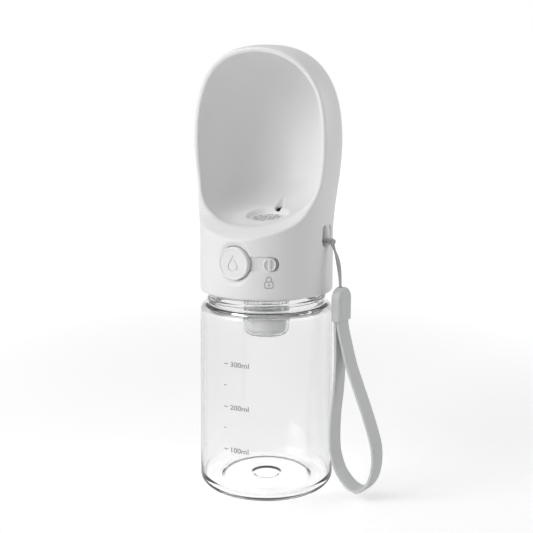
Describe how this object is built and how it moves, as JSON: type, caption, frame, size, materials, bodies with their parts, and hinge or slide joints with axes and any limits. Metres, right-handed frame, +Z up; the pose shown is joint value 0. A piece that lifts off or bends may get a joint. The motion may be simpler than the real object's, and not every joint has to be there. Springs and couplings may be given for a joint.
{
  "type": "dog travel water bottle",
  "caption": "Clear screw-neck water bottle under a scoop-shaped drinking head with a push-button valve, slide lock, hanging filter and wrist strap.",
  "frame": {"origin": "centre of the bottle's foot, on the surface it stands on", "axes": "+Z up the bottle's axis, -Y towards the button and the open side of the scoop, +X towards the strap"},
  "size_m": [0.1153, 0.0814, 0.251],
  "materials": {
    "clear_plastic": "clear, glossy",
    "white_plastic": "fine satin",
    "inner_plastic": "satin",
    "grille_plastic": "satin",
    "smoky_plastic": "translucent, glossy",
    "silicone": "matte",
    "steel": "bright",
    "filter_felt": "felted",
    "filter_medium": "granular",
    "cord": "braided",
    "grey_rubber": "smooth silicone"
  },
  "bodies": {
    "bottle": {"bottle": "clear_plastic"},
    "neck_seal": {"neck_seal": "silicone"},
    "head": {"head_shell": "white_plastic", "collar_deck": "inner_plastic", "valve_tower": "inner_plastic", "tower_gasket": "silicone", "drain_grille": "grille_plastic", "deck_screws": "steel", "tower_screws": "steel", "valve_seat": "silicone", "air_valve": "silicone", "valve_spring": "steel", "plunger_oring": "silicone", "button_spring": "steel", "filter_basket": "smoky_plastic", "filter_pad": "filter_felt", "filter_core": "filter_medium", "filter_lid": "smoky_plastic", "cord_hitch": "cord"},
    "valve": {"valve_stem": "inner_plastic", "valve_plug": "silicone", "stem_clip": "steel"},
    "button": {"button_cap": "white_plastic", "button_plunger": "inner_plastic", "plunger_clip": "steel"},
    "lock": {"lock_knob": "white_plastic", "lock_slider": "inner_plastic"},
    "strap": {"strap_cord": "cord", "strap_clasp": "grey_rubber", "strap_band": "grey_rubber"}
  },
  "joints": [
    {"name": "head_lift", "type": "slide", "parent": "bottle", "child": "neck_seal", "axis": [0, 0, 1], "range_m": [0, 0.004]},
    {"name": "head_unscrew", "type": "hinge", "parent": "neck_seal", "child": "head", "pos_m": [0, 0, 0.12], "axis": [0, 0, 1], "range_deg": [0, 360]},
    {"name": "button_press", "type": "slide", "parent": "head", "child": "button", "axis": [0, 1, 0], "range_m": [0, 0.003], "stiffness_N_per_m": 700, "springref_m": -0.003, "deforming": ["button_spring", "valve_spring"]},
    {"name": "valve_drop", "type": "slide", "parent": "head", "child": "valve", "axis": [0, 0, -1], "range_m": [0, 0.0024]},
    {"name": "lock_slide", "type": "hinge", "parent": "head", "child": "lock", "pos_m": [0, 0, 0.1345], "axis": [0, 0, -1], "range_deg": [0, 6]},
    {"name": "strap_swing", "type": "hinge", "parent": "head", "child": "strap", "pos_m": [0.0409, 0, 0.14415], "axis": [0, -1, 0], "range_deg": [0, 90]}
  ],
  "couplings": [
    {"joint": "head_lift", "follows": "head_unscrew", "m_per_rad": 0.00063662},
    {"joint": "valve_drop", "follows": "button_press", "ratio": 0.8}
  ]
}
